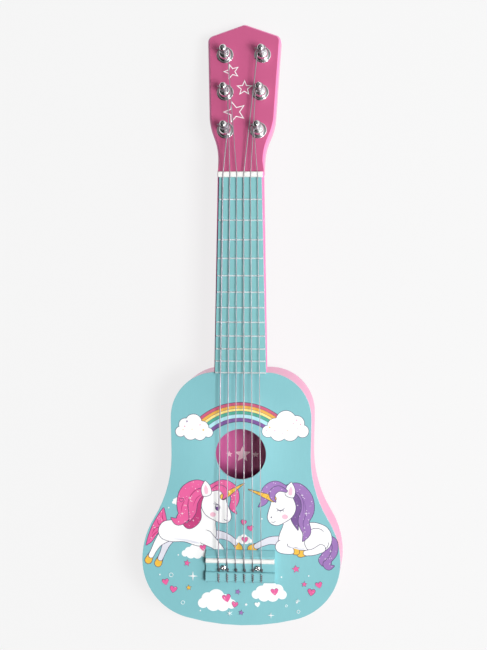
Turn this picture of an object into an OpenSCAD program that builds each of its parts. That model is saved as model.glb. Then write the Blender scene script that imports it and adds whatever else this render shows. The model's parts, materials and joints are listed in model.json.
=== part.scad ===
// Small six-string toy guitar with friction tuning pegs, lying on its back.
// X runs across the strings, Y from the tail to the tip of the head, and Z out of the front.
// The origin is the centre of the footprint, on the surface that the back rests on.

/* [Body] */
// Length of the body, from the tail to the neck joint
body_length = 224.6; // [185:0.2:270]
// Width across the lower bout
lower_width = 175.4; // [146:0.2:211]
// Width across the waist
waist_width = 122.8; // [102:0.2:148]
// Width across the upper bout
upper_width = 123.8; // [103:0.2:149]
// Depth of the body over both plates
body_depth = 55; // [45:0.5:67]
// Distance of the widest line from the tail
widest_from_tail = 57; // [47:0.5:69]
// Distance of the waist from the neck joint
waist_from_neck = 74.6; // [62:0.2:90]
// Radius of the tail
tail_radius = 190; // [158:1:228]
// Radius of the shoulders
shoulder_radius = 40; // [33:0.5:48]
// Share of the side's curve that belongs to the lower bout
bout_share = 0.405; // [0.33:0.005:0.49]
// Thickness of the top plate
top_thickness = 2.6; // [2:0.1:3.4]
// Thickness of the back plate
back_thickness = 2.6; // [2:0.1:3.4]
// Thickness of the bent sides
side_thickness = 2.2; // [1.8:0.1:2.8]
// Diameter of the sound hole
hole_diameter = 44.4; // [37:0.2:53.4]
// Distance of the sound hole's centre from the neck joint
hole_from_neck = 72.2; // [62:0.2:87]

/* [Inside] */
// Width of the lining strips
lining_width = 5; // [4:0.5:6]
// Height of the lining strips
lining_height = 6; // [5:0.5:8]
// Width of the braces
brace_width = 6; // [5:0.5:8]
// Height of the braces
brace_height = 8; // [6:0.5:10]
// Length of the neck block and tail block along the body
block_length = 18; // [15:0.5:22]
// Width of the neck block and tail block
block_width = 40; // [33:1:48]
// Width of the inner label
label_width = 84; // [70:1:100]
// Length of the inner label
label_length = 92; // [76:1:110]

/* [Neck] */
// Width of the neck at the nut
neck_width_nut = 40.4; // [33.8:0.2:48]
// Width of the neck at the body
neck_width_body = 46.6; // [39:0.2:56]
// Thickness of the neck without the fretboard
neck_thickness = 15; // [12.5:0.5:18]
// Thickness of the neck at its long edges
neck_edge = 1.5; // [1.2:0.1:2.5]
// Height of the heel's foot above the back
heel_foot = 5; // [4:0.5:8]
// Width of the fretboard at the nut
board_width_nut = 36.8; // [31:0.2:44]
// Width of the fretboard at the body
board_width_body = 44.8; // [37.4:0.2:53.8]
// Thickness of the fretboard
board_thickness = 3; // [2.5:0.1:3.6]
// Length that sets the fret places
scale_length = 340; // [284:1:408]
// Number of frets
fret_count = 12; // [6:1:16]
// Height of a fret's crown, which is half round
fret_height = 0.7; // [0.5:0.05:0.9]
// Thickness of the nut along the strings
nut_thickness = 5; // [4.2:0.1:6]
// Width of the nut
nut_width = 38.4; // [32:0.2:46]

/* [Strings] */
// String length from the nut to the saddle
string_length = 335.8; // [280:0.2:403]
// Distance of the saddle from the tail
saddle_from_tail = 58.8; // [50:0.2:70]
// Diameters of the strings, from the thinnest side across
gauges = [0.7, 0.8, 1.0, 0.76, 0.9, 1.1];
// Pitch of the strings at the nut
nut_pitch = 6; // [5:0.1:6.6]
// Pitch of the strings at the saddle
saddle_pitch = 7.55; // [6.7:0.05:9.05]
// Height of the string centres over the neck at the nut
nut_string_height = 5.2; // [4.9:0.1:6]
// Height of the saddle's crest over the top plate
saddle_crest = 9; // [8.6:0.1:10.8]

/* [Bridge] */
// Width of the bridge
bridge_width = 61; // [51:0.5:73]
// Height of the tie block
tie_height = 7; // [6.5:0.1:8]
// Thickness of the saddle
saddle_thickness = 4.2; // [3.4:0.1:5]
// Radius of the bridge bolts
bolt_radius = 1.5; // [1.25:0.05:1.75]

/* [Head] */
// Length of the head along its face
head_length = 135; // [128:0.5:162]
// Angle that the head leans back
head_angle = 15; // [12.5:0.5:18]
// Width of the head at its tip end
head_width = 64.4; // [58:0.2:76]
// Thickness of the head's wood
head_thickness = 12; // [10:0.5:14.4]
// Thickness of the printed veneer on the head
veneer_thickness = 0.6; // [0.5:0.1:0.8]
// Rise of the head's gable
gable_rise = 11.4; // [9.5:0.1:13.6]
// Radius of the head's corners
corner_radius = 6; // [5:0.5:7]
// Width of the sloping edge around the head's face
edge_slope = 1.6; // [1.3:0.1:1.9]

/* [Tuning pegs] */
// Distance of the first pegs from the nut along the head
first_peg = 37.2; // [33:0.1:40]
// Distance between pegs along the head
peg_pitch = 34.5; // [29:0.1:35]
// Free space between the shafts of the two first pegs
first_peg_gap = 22.8; // [21:0.2:27]
// Free space between the shafts of the two last pegs
last_peg_gap = 27; // [24:0.2:32]
// Radius of a peg's shaft in its bushing
shaft_radius = 3; // [2.5:0.05:3.6]
// How much slimmer than the shaft the waist is that the string winds on
waist_depth = 0.4; // [0.3:0.05:0.6]
// Height of a peg's tip over the head's face
peg_height = 21; // [20:0.5:25]
// Height of a string's first turn over the head's face
wind_level = 12; // [11:0.2:13]
// Turns that ride on the peg
wind_turns = 2.4; // [1.4:0.2:3]
// Radius of the washer under the bushing
washer_radius = 7.5; // [6.5:0.1:8]
// Thickness of the bushing's sleeve
sleeve_wall = 0.95; // [0.8:0.05:1.15]
// How far the bushing's domed head stands out past its sleeve
dome_lip = 1.4; // [1.1:0.05:1.7]
// Height of the bushing's dome over the head's face
dome_height = 7.2; // [6:0.1:7.6]
// Width of a peg's button
button_width = 16; // [14:0.5:18]
// Height of a button's grip
button_height = 10; // [8.4:0.2:10.4]
// Thickness of a button's grip
button_thickness = 7; // [6.8:0.1:8]

/* [Hidden] */
fit_gap = 0.05;                 // running fit on each side
turn_gap = 0.15;                // room between a string and a turning peg
arc_step = 5;                   // degrees between the points of an outline
round_fn = 64;
bore_fn = 48;
neck_y = body_length;
waist_radius = shaft_radius - waist_depth;
sleeve_radius = shaft_radius + sleeve_wall;
dome_radius = sleeve_radius + dome_lip;
waist_y = neck_y - waist_from_neck;
hole_y = neck_y - hole_from_neck;
hole_radius = hole_diameter / 2;
saddle_y = saddle_from_tail;
nut_y = saddle_y + string_length;
head_y = nut_y + nut_thickness;
total_length = head_y + head_length * cos(head_angle) - (veneer_thickness + edge_slope) * sin(head_angle);
top_z = body_depth;
inner_top_z = body_depth - top_thickness;

string_count = 6;
strings = [for (n = [1:string_count]) n];
function on_left(n) = n > 3;
function side(n) = on_left(n) ? -1 : 1;
function radius_of(n) = gauges[n - 1] / 2;

// Outlines: each point is [x, y, direction of the outward normal]

function arc(centre, radius, from, to) =
    let (steps = max(1, ceil(abs(to - from) / arc_step)))
    [for (k = [0:steps]) let (a = from + (to - from) * k / steps)
        [centre[0] + radius * cos(a), centre[1] + radius * sin(a), a]];

// Two equal-angle arcs from start to end, both ends running straight up. The first takes share of the radius.
function s_curve(start, end, share) =
    let (dx = end[0] - start[0], dy = end[1] - start[1])
    let (way = dx < 0 ? -1 : 1)
    let (turn = 2 * atan(max(abs(dx), 0.001) / dy), whole = dy / sin(turn))
    let (first = whole * share, second = whole - whole * share)
    let (steps = max(2, ceil(turn / arc_step)))
    concat(
        [for (k = [0:steps]) let (t = turn * k / steps)
            [start[0] + way * first * (1 - cos(t)), start[1] + first * sin(t), -way * t]],
        [for (k = [1:steps]) let (t = turn * (1 - k / steps))
            [end[0] - way * second * (1 - cos(t)), end[1] - second * sin(t), -way * t]]);

function mirrored(half) =
    concat(half, [for (k = [len(half) - 1:-1:0]) if (half[k][0] > 0.0001)
        [-half[k][0], half[k][1], 180 - half[k][2]]]);

function inset(points, by) = [for (p = points) [p[0] - by * cos(p[2]), p[1] - by * sin(p[2])]];

lower_half = lower_width / 2;
corner_tail_radius = (pow(tail_radius, 2) - pow(lower_half, 2) - pow(tail_radius - widest_from_tail, 2))
    / (2 * (tail_radius - lower_half));
tail_turn = asin((lower_half - corner_tail_radius) / (tail_radius - corner_tail_radius));
body_half = concat(
    arc([0, tail_radius], tail_radius, -90, -90 + tail_turn),
    arc([lower_half - corner_tail_radius, widest_from_tail], corner_tail_radius, -90 + tail_turn, 0),
    s_curve([lower_half, widest_from_tail], [waist_width / 2, waist_y], bout_share),
    s_curve([waist_width / 2, waist_y], [upper_width / 2, neck_y - shoulder_radius], 0.5),
    arc([upper_width / 2 - shoulder_radius, neck_y - shoulder_radius], shoulder_radius, 0, 90));

module body_shape(by = 0) polygon(inset(mirrored(body_half), by));

module body_band(outer, inner, z, height) {
    translate([0, 0, z]) linear_extrude(height) difference() {
        body_shape(outer);
        body_shape(inner);
    }
}

module half_space(way) translate([way > 0 ? 0 : -total_length, -total_length, -total_length])
    cube([total_length, 3 * total_length, 2 * total_length]);

// Moves what is drawn in millimetres from the tail to the model's own frame.
module in_frame() translate([0, -total_length / 2, 0]) children();

// Plates, sides and what is glued inside

module sound_hole(z, height) translate([0, hole_y, z]) cylinder(h = height, r = hole_radius, $fn = round_fn);

module at_bolts() for (way = [-1, 1]) translate([way * 2 * saddle_pitch, bolt_y, 0]) children();

module top_plate() color("paleturquoise") in_frame() difference() {
    translate([0, 0, inner_top_z]) linear_extrude(top_thickness) body_shape();
    sound_hole(inner_top_z - 1, top_thickness + 2);
    at_bolts() translate([0, 0, inner_top_z - 1])
        cylinder(h = top_thickness + 2, r = bolt_radius + fit_gap, $fn = bore_fn);
}

module back_plate() color("pink") in_frame() linear_extrude(back_thickness) body_shape();

side_height = inner_top_z - back_thickness;

module rib(way) color("pink") in_frame() difference() {
    intersection() {
        body_band(0, side_thickness, back_thickness, side_height);
        half_space(way);
    }
    at_neck_screws() translate([0, -side_thickness - 1, 0]) screw_bore(side_thickness + 2);
}

module block_space(y, clearance = 0) translate([-block_width / 2 - clearance, y - clearance, back_thickness])
    cube([block_width + 2 * clearance, block_length + 2 * clearance, side_height]);

neck_block_y = neck_y - side_thickness - block_length;
tail_block_y = side_thickness;

module neck_block() color("burlywood") in_frame() difference() {
    intersection() {
        translate([0, 0, back_thickness]) linear_extrude(side_height) body_shape(side_thickness);
        block_space(neck_block_y);
    }
    at_neck_screws() translate([0, -side_thickness - block_length - 1, 0]) screw_bore(block_length + 2);
}

module tail_block() color("burlywood") in_frame() intersection() {
    translate([0, 0, back_thickness]) linear_extrude(side_height) body_shape(side_thickness);
    block_space(tail_block_y);
}

module linings(z) color("burlywood") in_frame() difference() {
    body_band(side_thickness, side_thickness + lining_width, z, lining_height);
    block_space(neck_block_y, fit_gap + side_thickness);
    translate([0, -side_thickness, 0]) block_space(tail_block_y, fit_gap);
}
module top_linings() linings(inner_top_z - lining_height);
module back_linings() linings(back_thickness);

module brace(y, z) color("burlywood") in_frame() translate([0, 0, z]) linear_extrude(brace_height)
    intersection() {
        body_shape(side_thickness + lining_width + fit_gap);
        translate([-lower_width, y - brace_width / 2]) square([2 * lower_width, brace_width]);
    }
hole_to_brace = 12;
back_brace_from_neck = 45;
back_brace_from_widest = 22;
module top_brace_upper() brace(hole_y + hole_radius + hole_to_brace, inner_top_z - brace_height);
module top_brace_lower() brace(hole_y - hole_radius - hole_to_brace, inner_top_z - brace_height);
module back_brace_upper() brace(neck_y - back_brace_from_neck, back_thickness);
module back_brace_lower() brace(widest_from_tail + back_brace_from_widest, back_thickness);

label_thickness = 0.3;
label_corner = 8;
// The label lies between the back braces, under the sound hole.
label_start = max(hole_y - label_length / 2, widest_from_tail + back_brace_from_widest + brace_width / 2 + 1);
label_end = min(hole_y + label_length / 2, neck_y - back_brace_from_neck - brace_width / 2 - 1);
module label_outline() {
    for (x = [-1, 1], y = [label_start + label_corner, label_end - label_corner])
        translate([x * (label_width / 2 - label_corner), y]) circle(r = label_corner, $fn = bore_fn);
    translate([-label_width / 2 + label_corner, label_start])
        square([label_width - 2 * label_corner, label_end - label_start]);
    translate([-label_width / 2, label_start + label_corner])
        square([label_width, label_end - label_start - 2 * label_corner]);
}
module inner_label() color("mediumvioletred") in_frame() translate([0, 0, back_thickness])
    linear_extrude(label_thickness) label_outline();

// Bridge, seen from the side: Y from the saddle, Z from the top plate

tie_front = -10.1;
tie_back = -18.8;
lip_back = -20.4;
lip_height = 1.6;
channel_height = 3.2;
saddle_wall = 1.6;
support_height = 6.2;
bridge_front = 8.9;
front_height = 2;
tie_hole_height = 3.4;
tie_hole_radius = 1;
tie_round = 1.6;
saddle_slot_height = 2.6;
slot_half = saddle_thickness / 2 + fit_gap;
bolt_y = saddle_y + (tie_front - slot_half - saddle_wall) / 2;
bridge_plate_thickness = 2.5;
bridge_plate_border = 3;

module bridge_side() {
    polygon(concat(
        [[lip_back, 0], [bridge_front, 0], [bridge_front, front_height],
         [slot_half + saddle_wall, support_height], [-slot_half - saddle_wall, support_height],
         [-slot_half - saddle_wall, channel_height], [tie_front, channel_height]],
        [for (p = arc([tie_front - tie_round, tie_height - tie_round], tie_round, 0, 90)) [p[0], p[1]]],
        [for (p = arc([tie_back + tie_round, tie_height - tie_round], tie_round, 90, 180)) [p[0], p[1]]],
        [[tie_back, lip_height], [lip_back, lip_height - 0.6]]));
}

// Turns a drawing in Y and Z into a bar of the given width across the strings.
module across(width) translate([-width / 2, 0, 0]) rotate([90, 0, 90]) linear_extrude(width) children();

module bridge() color("paleturquoise") in_frame() translate([0, saddle_y, top_z]) difference() {
    across(bridge_width) bridge_side();
    translate([-bridge_width / 2 - 1, -slot_half, saddle_slot_height])
        cube([bridge_width + 2, 2 * slot_half, saddle_crest]);
    for (n = strings) translate([string_x(n, saddle_pitch), tie_front + 1, tie_hole_height])
        rotate([90, 0, 0]) cylinder(h = tie_front - tie_back + 2, r = tie_hole_radius, $fn = bore_fn);
    for (way = [-1, 1]) translate([way * 2 * saddle_pitch, bolt_y - saddle_y, -1])
        cylinder(h = channel_height + 2, r = bolt_radius + fit_gap, $fn = bore_fn);
}

saddle_crest_radius = saddle_thickness / 2;
saddle_margin = 0.3;
module saddle() color("white") in_frame() translate([0, saddle_y, top_z])
    across(bridge_width - 2 * saddle_margin) {
        translate([-saddle_thickness / 2, saddle_slot_height + fit_gap])
            square([saddle_thickness, saddle_crest - saddle_crest_radius - saddle_slot_height - fit_gap]);
        intersection() {
            translate([0, saddle_crest - saddle_crest_radius]) circle(r = saddle_crest_radius, $fn = bore_fn);
            translate([-saddle_thickness, saddle_crest - saddle_crest_radius])
                square([2 * saddle_thickness, saddle_thickness]);
        }
    }

bridge_plate_z = inner_top_z - bridge_plate_thickness;
module bridge_plate() color("burlywood") in_frame() difference() {
    translate([-bridge_width / 2 - bridge_plate_border, saddle_y + lip_back - 1, bridge_plate_z])
        cube([bridge_width + 2 * bridge_plate_border, bridge_front - lip_back + 2, bridge_plate_thickness]);
    at_bolts() translate([0, 0, bridge_plate_z - 1])
        cylinder(h = bridge_plate_thickness + 2, r = bolt_radius + fit_gap, $fn = bore_fn);
}

bolt_washer_thickness = 0.8;
bolt_washer_radius = 3.6;
bolt_nut_height = 2.4;
bolt_nut_radius = 3.2;
bolt_head_radius = 2.7;
bolt_head_height = 1.9;
bolt_stick_out = 1;
nut_top_z = bridge_plate_z - bolt_washer_thickness;
bolt_end_z = nut_top_z - bolt_nut_height - bolt_stick_out;

// A rounded screw head with a cross recess, its flat side at z = 0.
module pan_head(radius, height, recess) difference() {
    rotate_extrude($fn = bore_fn) polygon([[0, 0], [radius, 0], [radius, height * 0.45],
        [radius * 0.82, height * 0.85], [radius * 0.5, height], [0, height]]);
    for (turn = [0, 90]) rotate([0, 0, turn]) translate([-recess / 2, -recess / 8, height * 0.45])
        cube([recess, recess / 4, height]);
}

module bridge_bolts() color("silver") in_frame() at_bolts() {
    translate([0, 0, top_z + channel_height]) pan_head(bolt_head_radius, bolt_head_height, 3);
    translate([0, 0, bolt_end_z])
        cylinder(h = top_z + channel_height - bolt_end_z, r = bolt_radius, $fn = bore_fn);
}

module ring(outer, bore, height) difference() {
    cylinder(h = height, r = outer, $fn = bore_fn);
    translate([0, 0, -1]) cylinder(h = height + 2, r = bore, $fn = bore_fn);
}

module bridge_washers() color("silver") in_frame() at_bolts() translate([0, 0, nut_top_z])
    ring(bolt_washer_radius, bolt_radius + fit_gap, bolt_washer_thickness);

module bolt_nut() difference() {
    cylinder(h = bolt_nut_height, r = bolt_nut_radius, $fn = 6);
    translate([0, 0, -1]) cylinder(h = bolt_nut_height + 2, r = bolt_radius + fit_gap, $fn = bore_fn);
}
module bridge_nuts() color("silver") in_frame() at_bolts()
    translate([0, 0, nut_top_z - bolt_nut_height]) bolt_nut();

// Neck

neck_screw_radius = 2;
neck_screw_grip = 14;
neck_screw_heights = [top_z - neck_thickness - 14, top_z - neck_thickness + 3];
neck_screw_head = 4;
neck_screw_head_height = 2.4;
neck_washer_thickness = 1;
neck_washer_radius = 5.5;

// Children are drawn with the neck joint at Y = 0.
module at_neck_screws() for (z = neck_screw_heights) translate([0, neck_y, z]) children();
module screw_bore(length) rotate([-90, 0, 0])
    cylinder(h = length, r = neck_screw_radius + fit_gap, $fn = bore_fn);

module neck_screws() color("silver") in_frame() at_neck_screws()
    translate([0, -side_thickness - block_length - neck_washer_thickness, 0]) rotate([-90, 0, 0]) {
        cylinder(h = neck_washer_thickness + block_length + side_thickness + neck_screw_grip,
            r = neck_screw_radius, $fn = bore_fn);
        rotate([180, 0, 0]) pan_head(neck_screw_head, neck_screw_head_height, 4);
    }

module neck_screw_washers() color("silver") in_frame() at_neck_screws()
    translate([0, -side_thickness - block_length - neck_washer_thickness, 0]) rotate([-90, 0, 0])
        ring(neck_washer_radius, neck_screw_radius + fit_gap, neck_washer_thickness);

neck_half_nut = neck_width_nut / 2;
neck_half_body = neck_width_body / 2;
neck_sag = neck_thickness - neck_edge;
neck_round = (pow(neck_sag, 2) + pow(neck_half_body, 2)) / (2 * neck_sag);
throat = 10;

// Flat faces from side to side that close a ring whose second half mirrors its first
function ladder(count, first) = [for (j = [0:floor(count / 2) - 1])
    let (a = first + j, b = first + count - 1 - j)
    b - a == 2 ? [a, a + 1, b] : [a, a + 1, b - 1, b]];
function flipped(faces) = [for (face = faces) [for (k = [len(face) - 1:-1:0]) face[k]]];

// A solid through rings that all have the same count of points. Each runs clockwise seen from the last ring.
// A ring that isn't convex needs ladders.
module skin(rings, ladders = false) {
    count = len(rings[0]);
    last = len(rings) - 1;
    points = [for (ring = rings, p = ring) p];
    walls = [for (k = [0:last - 1], j = [0:count - 1])
        let (a = k * count + j, b = k * count + (j + 1) % count)
        each [[a, b, b + count], [a, b + count, a + count]]];
    caps = ladders ? concat(flipped(ladder(count, 0)), ladder(count, last * count))
        : [[for (j = [count - 1:-1:0]) j], [for (j = [0:count - 1]) last * count + j]];
    polyhedron(points, concat(walls, caps));
}

heel_levels = 8;
heel_side_points = 12;
heel_length = 46;
heel_foot_length = 14;
heel_foot_half = 14;
heel_top_half = neck_half_body - 2.4;
heel_top_z = top_z - neck_thickness + 2;

// One level of the heel: straight at the body, then half an ellipse. Share is 0 at the foot, 1 at the neck.
function heel_ring(share) =
    let (length = heel_foot_length + (heel_length - heel_foot_length) * (1 - sqrt(1 - pow(share, 2))))
    let (half = heel_foot_half + (heel_top_half - heel_foot_half) * share, straight = length * 0.3)
    let (z = heel_foot + (heel_top_z - heel_foot) * share)
    concat([[-half, 0, z]],
        [for (k = [0:heel_side_points]) let (a = 180 - 180 * k / heel_side_points)
            [half * cos(a), straight + (length - straight) * sin(a), z]],
        [[half, 0, z]]);

module neck_shaft() intersection() {
    translate([0, 0, top_z - neck_thickness]) linear_extrude(neck_thickness) polygon([
        [-neck_half_body, neck_y], [neck_half_body, neck_y],
        [neck_half_nut, nut_y], [neck_half_nut, head_y + throat],
        [-neck_half_nut, head_y + throat], [-neck_half_nut, nut_y]]);
    translate([0, neck_y - 1, top_z - neck_thickness + neck_round]) rotate([-90, 0, 0])
        cylinder(h = head_y + throat - neck_y + 2, r = neck_round, $fn = 128);
}

// The head's own frame: Y along its face from the nut, Z out of the face.
module on_head() translate([0, head_y, top_z]) rotate([-head_angle, 0, 0]) children();

flare_start = 10;
flare_end = 54;
flare_half = head_width / 2 - 3.1;
gable_angle = atan(gable_rise / (head_width / 2));
eave = head_length - gable_rise;
tip_round = 5;
corner_centre = [head_width / 2 - corner_radius, eave - corner_radius * tan(45 - gable_angle / 2)];

head_half = concat(
    [[neck_half_nut, 0, 0]],
    s_curve([neck_half_nut, flare_start], [flare_half, flare_end], 0.5),
    arc(corner_centre, corner_radius, 0, 90 - gable_angle),
    arc([0, head_length - tip_round], tip_round, 90 - gable_angle, 90));
// The outline drawn in by the given distance, which grows from nothing at the nut
function head_inset(by) = [for (p = mirrored(head_half)) let (d = by * min(1, p[1] / flare_start))
    [p[0] - d * cos(p[2]), p[1] - d * sin(p[2])]];
head_back = -veneer_thickness - head_thickness;
head_levels = [[head_back, 0], [-veneer_thickness - edge_slope, 0], [-veneer_thickness, edge_slope]];
module head_wood() skin([for (level = head_levels) let (outline = head_inset(level[1]))
    [for (k = [len(outline) - 1:-1:0]) [outline[k][0], outline[k][1], level[0]]]], true);

// Place of the peg of string n on the head's face
function peg_row(n) = on_left(n) ? string_count - n : n - 1;
function row_gap(row) = first_peg_gap + (last_peg_gap - first_peg_gap) * row / 2;
function peg_x(n) = side(n) * (shaft_radius + row_gap(peg_row(n)) / 2);
function peg_y(n) = first_peg + peg_pitch * peg_row(n);
module at_peg(n) on_head() translate([peg_x(n), peg_y(n), 0]) children();

head_bore = sleeve_radius + fit_gap;

module neck() color("pink") in_frame() difference() {
    union() {
        neck_shaft();
        translate([0, neck_y, 0]) skin([for (k = [0:heel_levels]) heel_ring(k / heel_levels)]);
    }
    on_head() translate([-head_width, 0, -2 * head_thickness])
        cube([2 * head_width, head_length, 3 * head_thickness]);
    at_neck_screws() translate([0, -1, 0]) screw_bore(neck_screw_grip + 1.5);
}

module head() color("pink") in_frame() difference() {
    on_head() head_wood();
    for (n = strings) at_peg(n) translate([0, 0, head_back - 1])
        cylinder(h = head_thickness + 2, r = head_bore, $fn = bore_fn);
}

module head_veneer() color("palevioletred") in_frame() difference() {
    on_head() translate([0, 0, -veneer_thickness])
        linear_extrude(veneer_thickness) polygon(head_inset(edge_slope));
    for (n = strings) at_peg(n) translate([0, 0, -veneer_thickness - 1])
        cylinder(h = veneer_thickness + 2, r = head_bore, $fn = bore_fn);
}

// Fretboard, frets and nut

function fret_y(k) = nut_y - scale_length * (1 - pow(2, -k / 12));
board_lap = 1.2;
board_end = min(fret_y(fret_count), neck_y) - board_lap;
board_slope = (board_width_body - board_width_nut) / 2 / (nut_y - neck_y);
function board_half(y) = board_width_nut / 2 + board_slope * (nut_y - y);
fret_slot = 0.6;
fret_slot_depth = 1.6;
fret_end_gap = 0.4;

module fretboard() color("paleturquoise") in_frame() difference() {
    translate([0, 0, top_z]) linear_extrude(board_thickness) polygon([
        [-board_half(board_end), board_end], [board_half(board_end), board_end],
        [board_half(nut_y), nut_y], [-board_half(nut_y), nut_y]]);
    for (k = [1:fret_count])
        translate([-neck_width_body, fret_y(k) - fret_slot / 2, top_z + board_thickness - fret_slot_depth])
            cube([2 * neck_width_body, fret_slot, fret_slot_depth + 1]);
}

module fret(k) translate([0, fret_y(k), top_z + board_thickness])
    across(2 * (board_half(fret_y(k)) - fret_end_gap)) {
        intersection() {
            circle(r = fret_height, $fn = bore_fn);
            translate([-1, 0]) square([2, 2]);
        }
        translate([-fret_slot / 2 + fit_gap, -fret_slot_depth + fit_gap])
            square([fret_slot - 2 * fit_gap, fret_slot_depth]);
    }
module frets() color("gainsboro") in_frame() for (k = [1:fret_count]) fret(k);

function string_x(n, pitch) = (3.5 - n) * pitch;
function nut_point(n) = [string_x(n, nut_pitch), nut_y + nut_thickness / 2, top_z + nut_string_height];
nut_crest = nut_string_height;
nut_corner = 1.2;

// A slot as long as the nut is thick, open above, under a string that runs from one point towards another
module groove(from, to, half) {
    way = unit(to - from);
    translate(from) rotate([0, acos(way[2]), atan2(way[1], way[0])])
        translate([-nut_crest, -half, -half]) cube([nut_crest + half, 2 * half, nut_thickness]);
}

module nut() color("white") in_frame() difference() {
    translate([0, nut_y, top_z]) across(nut_width) polygon(concat(
        [[0, 0], [nut_thickness, 0]],
        [for (p = arc([nut_thickness - nut_corner, nut_crest - nut_corner], nut_corner, 0, 90)) [p[0], p[1]]],
        [for (p = arc([nut_corner, nut_crest - nut_corner], nut_corner, 90, 180)) [p[0], p[1]]]));
    for (n = strings, end = [saddle_front(n), peg_touch(n)])
        groove(nut_point(n), end, radius_of(n) + fit_gap * 2);
}

// Strings

function unit(v) = v / norm(v);
// Direction from a circle's centre to where a line from p touches it
function touch_angle(centre, p, radius, way) =
    atan2(p[1] - centre[1], p[0] - centre[0]) + way * acos(radius / norm(p - centre));
function to_head(p) = let (y = p[1] - head_y, z = p[2] - top_z)
    [p[0], y * cos(head_angle) - z * sin(head_angle), y * sin(head_angle) + z * cos(head_angle)];
function from_head(p) =
    [p[0], head_y + p[1] * cos(head_angle) + p[2] * sin(head_angle),
     top_z - p[1] * sin(head_angle) + p[2] * cos(head_angle)];

crest_centre = [saddle_y, top_z + saddle_crest - saddle_crest_radius];
function crest_radius(n) = saddle_crest_radius + radius_of(n) + fit_gap;
function over_crest(n, a) =
    let (r = crest_radius(n))
    [string_x(n, saddle_pitch), crest_centre[0] + r * cos(a), crest_centre[1] + r * sin(a)];
tie_exit = [saddle_y + tie_front + 0.4, top_z + tie_hole_height];
function crest_back_angle(n) = touch_angle(crest_centre, tie_exit, crest_radius(n), -1) + 360;
function crest_front_angle(n) =
    touch_angle(crest_centre, [nut_point(n)[1], nut_point(n)[2]], crest_radius(n), 1);
function saddle_front(n) = over_crest(n, crest_front_angle(n));

// The string reaches the peg on the side that faces the middle of the head.
function peg_turn(n) = -side(n);
function lap_radius(n) = waist_radius + radius_of(n) + turn_gap;
function peg_centre(n) = [peg_x(n), peg_y(n)];
function peg_touch_angle(n) =
    let (p = to_head(nut_point(n))) touch_angle(peg_centre(n), [p[0], p[1]], lap_radius(n), peg_turn(n));
function on_lap(n, a, level) =
    from_head([peg_x(n) + lap_radius(n) * cos(a), peg_y(n) + lap_radius(n) * sin(a), level]);
function peg_touch(n) = on_lap(n, peg_touch_angle(n), wind_level);

lap_sweep = 170;
crest_steps = 3;
lap_steps = 10;
tie_lap = 0.1;
exit_bend = 0.2;

function tie_path(n) =
    let (x = string_x(n, saddle_pitch), off = radius_of(n) + tie_lap)
    let (y = saddle_y + tie_back, top = top_z + tie_height, hole = top_z + tie_hole_height)
    concat(
        [[x, saddle_y + tie_front - tie_round, top + off]],
        [for (a = [90:30:180]) let (r = tie_round + off)
            [x, y + tie_round + r * cos(a), top - tie_round + r * sin(a)]],
        [for (a = [180:30:270]) let (r = off + exit_bend)
            [x, y + exit_bend + r * cos(a), hole + r * (1 + sin(a))]],
        [[x, tie_exit[0], tie_exit[1]]]);

function string_path(n) =
    let (from = crest_back_angle(n), to = crest_front_angle(n), start = peg_touch_angle(n))
    concat(
        tie_path(n),
        [for (k = [0:crest_steps]) over_crest(n, from + (to - from) * k / crest_steps)],
        [nut_point(n)],
        [for (k = [0:lap_steps]) on_lap(n, start + peg_turn(n) * lap_sweep * k / lap_steps, wind_level)]);

// Rings of a tube along a path, each square to the mean of its two neighbours. Up is never along the path.
function tube_rings(path, radius, sides, up) =
    [for (k = [0:len(path) - 1])
        let (ahead = k < len(path) - 1 ? unit(path[k + 1] - path[k]) : unit(path[k] - path[k - 1]))
        let (behind = k > 0 ? unit(path[k] - path[k - 1]) : ahead)
        let (way = unit(ahead + behind), stretch = 1 / max(0.8, way * ahead))
        let (right = unit(cross(way, up)), out = cross(right, way))
        [for (j = [0:sides - 1]) let (a = 360 * j / sides)
            path[k] + radius * (cos(a) * right * (abs(up * [1, 0, 0]) > 0.5 ? stretch : 1) + sin(a) * out)]];

string_sides = 8;

module string(n) color("gainsboro") in_frame() {
    cut = len(tie_path(n)) + crest_steps;
    path = string_path(n);
    skin(tube_rings([for (k = [0:cut]) path[k]], radius_of(n), string_sides, [1, 0, 0]));
    skin(tube_rings([for (k = [cut:len(path) - 1]) path[k]], radius_of(n), string_sides, [0, 0.3, 1]));
}

// Tuning pegs, drawn on the head's face at the peg's axis

washer_thickness = 1;
rear_washer_thickness = 0.8;
rear_washer_radius = 6;
shoulder_radius_peg = shaft_radius + 0.6;
peg_hole_level = wind_level + 5.3;
peg_hole_radius = 0.85;
button_top = head_back - rear_washer_thickness - 0.1;
collar_length = 2.4;
collar_radius = 4.6;
grip_centre = button_top - collar_length + 0.6 - button_height / 2;
button_end = grip_centre - button_height / 2;
drive_side = 4;
drive_length = 5.4;
peg_screw_radius = 1.2;
peg_screw_head = 2.6;
peg_screw_head_height = 1.5;
peg_screw_seat = button_end + 0.3 + peg_screw_head_height;
peg_pilot_top = button_top - 0.6;

module peg_washers() color("silver") in_frame() for (n = strings) at_peg(n) rotate_extrude($fn = round_fn)
    polygon([[head_bore, 0], [washer_radius, 0], [washer_radius, washer_thickness * 0.5],
        [washer_radius - 0.5, washer_thickness], [head_bore, washer_thickness]]);

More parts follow.
